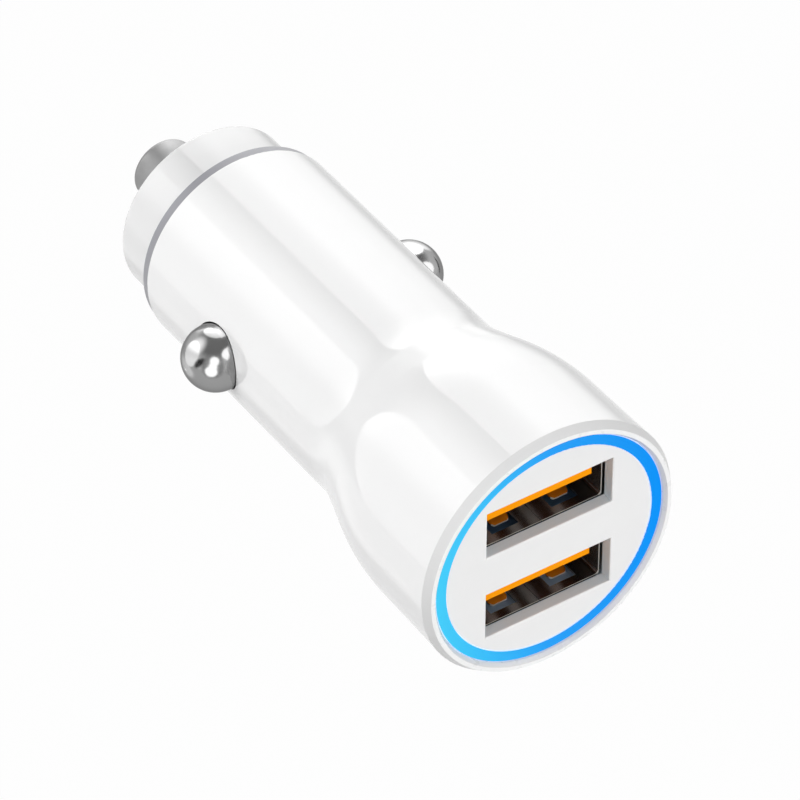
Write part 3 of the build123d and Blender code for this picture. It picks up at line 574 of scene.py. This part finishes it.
def coil_point(turn, turns, length, wire, radius):
    """Middle of the wire after a number of turns: closed at both ends, open between them."""
    rise_closed = CLOSED_TURNS * wire
    open_turns = turns - 2 * CLOSED_TURNS
    rise_open = length - wire - 2 * rise_closed
    if turn < CLOSED_TURNS:
        along = turn * wire
    elif turn < CLOSED_TURNS + open_turns:
        along = rise_closed + (turn - CLOSED_TURNS) / open_turns * rise_open
    else:
        along = rise_closed + rise_open + (turn - CLOSED_TURNS - open_turns) * wire
    angle = 2 * pi * turn
    return Vector((wire / 2 + along, radius * cos(angle), radius * sin(angle)))


def coil_rings(turns, length, wire, radius):
    """Rings of points round the wire of a coil that is wound about X from its fixed end."""
    steps = int(turns * POINTS_PER_TURN)
    path = [coil_point(turns * k / steps, turns, length, wire, radius) for k in range(steps + 1)]
    rings = []
    for k, point in enumerate(path):
        ahead = path[min(k + 1, steps)] - path[max(k - 1, 0)]
        out = Vector((0, point.y, point.z)).normalized()
        side = ahead.normalized().cross(out)
        turns_about = [2 * pi * n / WIRE_SIDES for n in range(WIRE_SIDES)]
        rings.append([point + (out * cos(turn) + side * sin(turn)) * (wire / 2) for turn in turns_about])
    return rings


def tube_mesh(name, rings):
    """Closed tube through rings of points, smooth along its sides."""
    mesh = bmesh.new()
    loops = [[mesh.verts.new(point) for point in ring] for ring in rings]
    for first, second in zip(loops, loops[1:]):
        for n in range(WIRE_SIDES):
            after = (n + 1) % WIRE_SIDES
            mesh.faces.new((first[n], first[after], second[after], second[n]))
    mesh.faces.new(loops[0])
    mesh.faces.new(loops[-1])
    bmesh.ops.recalc_face_normals(mesh, faces=mesh.faces)
    for face in mesh.faces:
        face.smooth = len(face.verts) < WIRE_SIDES
    data = bpy.data.meshes.new(name)
    mesh.to_mesh(data)
    mesh.free()
    return data


def add_spring(node, joint, direction, line, wire_mm, turns, material):
    """Wound wire in the room of a spring node, resting on the fixed end that the joint leaves still."""
    low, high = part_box(node)
    wire = wire_mm * MM
    along = line.index(1)
    across = 1 - along
    length = (high - low)[along]
    radius = (high - low).z / 2 - wire / 2
    anchor = (low + high) / 2
    anchor[along] = low[along] if direction > 0 else high[along]

    def put(local):
        point = Vector(anchor)
        point[along] += direction * local.x
        point[across] += local.y
        point.z += local.z
        return point

    rings = [[put(local) for local in ring] for ring in coil_rings(turns, length, wire, radius)]
    coil = bpy.data.objects.new(node + "_coil", tube_mesh(node + "_coil", rings))
    coil.data.materials.append(material)
    bpy.context.scene.collection.objects.link(coil)
    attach(coil, "body")
    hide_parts(node)
    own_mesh(coil)


# Studio: a white floor, soft lamps at both sides, and round panels about the plug that show in its gloss
FLOOR_DROP = 0.5
FLOOR_SIZE = 6.0
FLOOR_COLOUR = (*grey(0.57), 1)
FLOOR_WHITE_SHARE = 0.98
WORLD_LEVEL = 0.545
# What gloss sees of the room between the panels, by the sine of the height above the horizon
ROOM_LEVELS = ((0.0, 1.25), (0.4, 1.2), (0.57, 0.75), (0.68, 0.5), (0.78, 0.35), (1.0, 0.4))
LAMP_DISTANCE = 0.9
LAMP_SIZE = 0.6
# Each lamp: name, azimuth, elevation, and the share of a white surface's light that is its own
LAMPS = (
    ("left_lamp", 165, 36, 0.47),
    ("right_lamp", -84, 8, 0.56),
)
PANEL_SIDES = 96
# Distances of the panels. A nearer one hides what is behind it
NEAREST = 0.40
NEAR = 0.42
MIDWAY = 0.49
FAR = 0.56
# The way that a panel's strength changes: up, with other ways as an angle from higher azimuth
UP = 90


def steady(level):
    """The same strength all over a panel."""
    return ((0.0, level), (1.0, level))


# Each panel: name, distance, azimuth and elevation of its middle, half its width and height as angles,
# its lean, the share of it that thins out to its edge, the way that its strength changes, and the
# strengths along that way
PANELS = (
    ("rear_left", NEAR, 142, 10.5, 29.5, 31.5, 0, 0.02, 120,
     ((0.0, 2.3), (0.3, 2.4), (0.4, 2.2), (0.5, 2.1), (0.57, 2.5), (0.65, 3.3), (0.72, 3.6), (1.0, 4.0))),
    ("rear_left_glow", FAR, 136, 36, 34, 34, 0, 0.8, UP, steady(2.6)),
    ("rear_left_low", FAR, 132, -33, 32, 19, 0, 0.5, UP, steady(1.75)),
    ("rear_right", NEAR, 54, 40.5, 28.5, 32, 0, 0.02, 68,
     ((0.0, 3.7), (0.2, 4.3), (0.5, 5.0), (0.55, 4.8), (0.595, 4.1), (0.65, 3.5), (0.74, 2.9), (0.84, 2.4),
      (1.0, 2.1))),
    ("rear_right_low", FAR, 55, 8, 33, 34, -5, 0.3, UP,
     ((0.0, 0.8), (0.16, 1.0), (0.24, 1.5), (0.31, 2.2), (0.38, 2.75), (0.52, 3.4), (1.0, 3.4))),
    ("neck_glow", MIDWAY, 54, -10.5, 9, 13, 0, 0.9, UP, steady(2.15)),
    ("neck_fan", NEAREST, 82, 14, 16, 12, 0, 0.9, UP, steady(2.1)),
    ("front_right", NEAR, -50, 32, 37, 22, -30, 0.02, UP, steady(3.2)),
    ("front_left", NEAR, -128, 28, 15.5, 15.5, 0, 0.02, UP, steady(3.4)),
    ("front_left_mid", NEAR, -133, 9, 13.5, 13.5, 0, 0.02, UP, steady(3.4)),
    ("front_left_low", NEAR, -138, -8, 18.5, 18.5, 0, 0.02, UP, steady(3.4)),
    ("front_halo", MIDWAY, -133, 9, 27, 36, 0, 0.9, UP, steady(1.5)),
    ("front_gap", FAR, -133, 8, 42, 46, 0, 0.45, UP, steady(0.55)),
    ("left_gap", NEAR, 181, 9, 12, 28, -30, 0.5, UP, steady(0.05)),
    ("right_gap", NEAR, 4, -9, 5, 18, -36, 0.5, UP, steady(0.05)),
)


def start_stage_material(name):
    """Material of the studio, with no shader yet."""
    material = bpy.data.materials.new(name)
    material.use_nodes = True
    tree = material.node_tree
    tree.nodes.remove(tree.nodes["Principled BSDF"])
    return material, tree


def finish_stage_material(tree, shader):
    """Give a studio material its shader."""
    tree.links.new(shader, tree.nodes["Material Output"].inputs["Surface"])


def level_ramp(tree, fac, levels):
    """Grey that runs through levels, as shares of the strongest one, and that strongest level."""
    strongest = max(level for _, level in levels)
    stops = [(position, grey(level / strongest)) for position, level in levels]
    return colour_ramp(tree, fac, stops), strongest


def seen_directly(tree):
    """One for what the eye, a mirror or glass sees, and none for light that only fills."""
    path = tree.nodes.new("ShaderNodeLightPath")
    seen = path.outputs["Is Camera Ray"]
    for name in ("Is Glossy Ray", "Is Transmission Ray"):
        seen = number_math(tree, "MAXIMUM", seen, path.outputs[name])
    return seen


def add_floor():
    """Pale floor that is white to look at and still takes a soft shadow."""
    mesh = bmesh.new()
    bmesh.ops.create_grid(mesh, x_segments=1, y_segments=1, size=FLOOR_SIZE / 2)
    data = bpy.data.meshes.new("floor")
    mesh.to_mesh(data)
    mesh.free()
    floor = bpy.data.objects.new("floor", data)
    floor.location.z = -FLOOR_DROP
    bpy.context.scene.collection.objects.link(floor)
    material, tree = start_stage_material("floor")
    matt = add_node(tree, "ShaderNodeBsdfDiffuse", Color=FLOOR_COLOUR)
    white = add_node(tree, "ShaderNodeEmission", Color=WHITE, Strength=1.0)
    share = number_math(tree, "MULTIPLY", seen_directly(tree), FLOOR_WHITE_SHARE)
    finish_stage_material(tree, mix_shaders(tree, share, matt.outputs[0], white.outputs[0]))
    data.materials.append(material)


def add_world():
    """Even grey fill, a room that only gloss sees, and white behind the floor's edge for the eye."""
    world = bpy.data.worlds.new("world")
    bpy.context.scene.world = world
    world.use_nodes = True
    tree = world.node_tree
    fill = tree.nodes["Background"]
    fill.inputs["Color"].default_value = WHITE
    fill.inputs["Strength"].default_value = WORLD_LEVEL
    way = tree.nodes.new("ShaderNodeTexCoord")
    colour, strongest = level_ramp(tree, coordinate(tree, way.outputs["Generated"], "Z"), ROOM_LEVELS)
    room = add_node(tree, "ShaderNodeBackground", Strength=strongest)
    tree.links.new(colour, room.inputs["Color"])
    white = add_node(tree, "ShaderNodeBackground", Color=WHITE, Strength=1.0)
    path = tree.nodes.new("ShaderNodeLightPath")
    shown = fill.outputs[0]
    for ray, light in (("Is Glossy Ray", room), ("Is Transmission Ray", white), ("Is Camera Ray", white)):
        shown = mix_shaders(tree, path.outputs[ray], shown, light.outputs[0])
    tree.links.new(shown, tree.nodes["World Output"].inputs["Surface"])


def toward(azimuth, elevation):
    """Axes of something that is turned to the plug: to higher azimuth, up, and away from the plug."""
    turn = radians(azimuth)
    rise = radians(elevation)
    side = Vector((-sin(turn), cos(turn), 0))
    away = Vector((cos(rise) * cos(turn), cos(rise) * sin(turn), sin(rise)))
    return Matrix((side, away.cross(side), away)).transposed()


def add_lamp(name, azimuth, elevation, level):
    """Large soft lamp, as strong as its level of a white surface's light needs."""
    data = bpy.data.lights.new(name, "AREA")
    data.shape = "DISK"
    data.size = LAMP_SIZE
    data.energy = level * pi ** 2 * LAMP_DISTANCE ** 2
    lamp = bpy.data.objects.new(name, data)
    axes = toward(azimuth, elevation)
    lamp.matrix_world = Matrix.Translation(axes.col[2] * LAMP_DISTANCE) @ axes.to_4x4()
    lamp.visible_glossy = False
    bpy.context.scene.collection.objects.link(lamp)


def panel_material(name, wide, high, soft, way, strengths):
    """Glow that changes along a way over an oval and thins out to its edge."""
    material, tree = start_stage_material(name)
    spot = tree.nodes.new("ShaderNodeTexCoord")
    unit = vector_math(tree, "MULTIPLY", spot.outputs["Object"], (1 / wide, 1 / high, 0)).outputs[0]
    along = vector_math(tree, "DOT_PRODUCT", unit, (cos(radians(way)), sin(radians(way)), 0))
    share = map_range(tree, along.outputs["Value"], -1.0, 1.0)
    colour, strongest = level_ramp(tree, share.outputs["Result"], strengths)
    glow = add_node(tree, "ShaderNodeEmission", Strength=strongest)
    tree.links.new(colour, glow.inputs["Color"])
    clear = tree.nodes.new("ShaderNodeBsdfTransparent")
    reach = vector_math(tree, "LENGTH", unit)
    thin = ease(tree, reach.outputs["Value"], 1 - soft, 1.0)
    finish_stage_material(tree, mix_shaders(tree, thin, glow.outputs[0], clear.outputs[0]))
    return material


def add_panel(name, distance, azimuth, elevation, half_width, half_height, lean, soft, way, strengths):
    """Round glowing panel that faces the plug and that only gloss sees."""
    wide = distance * tan(radians(half_width))
    high = distance * tan(radians(half_height))
    mesh = bmesh.new()
    bmesh.ops.create_circle(mesh, cap_ends=True, segments=PANEL_SIDES, radius=1.0)
    bmesh.ops.scale(mesh, vec=(wide, high, 1), verts=mesh.verts)
    data = bpy.data.meshes.new(name)
    mesh.to_mesh(data)
    mesh.free()
    panel = bpy.data.objects.new(name, data)
    axes = toward(azimuth, elevation)
    turned = axes @ Matrix.Rotation(radians(lean), 3, "Z")
    panel.matrix_world = Matrix.Translation(axes.col[2] * distance) @ turned.to_4x4()
    panel.visible_camera = False
    panel.visible_diffuse = False
    panel.visible_shadow = False
    bpy.context.scene.collection.objects.link(panel)
    data.materials.append(panel_material(name, wide, high, soft, way, strengths))


add_camera()
materials = make_materials()
dress_nodes(materials)
for spring in SPRINGS:
    add_spring(*spring, materials["spring_steel"])
add_floor()
add_world()
for lamp in LAMPS:
    add_lamp(*lamp)
for panel in PANELS:
    add_panel(*panel)
bpy.context.scene.view_settings.view_transform = "Standard"
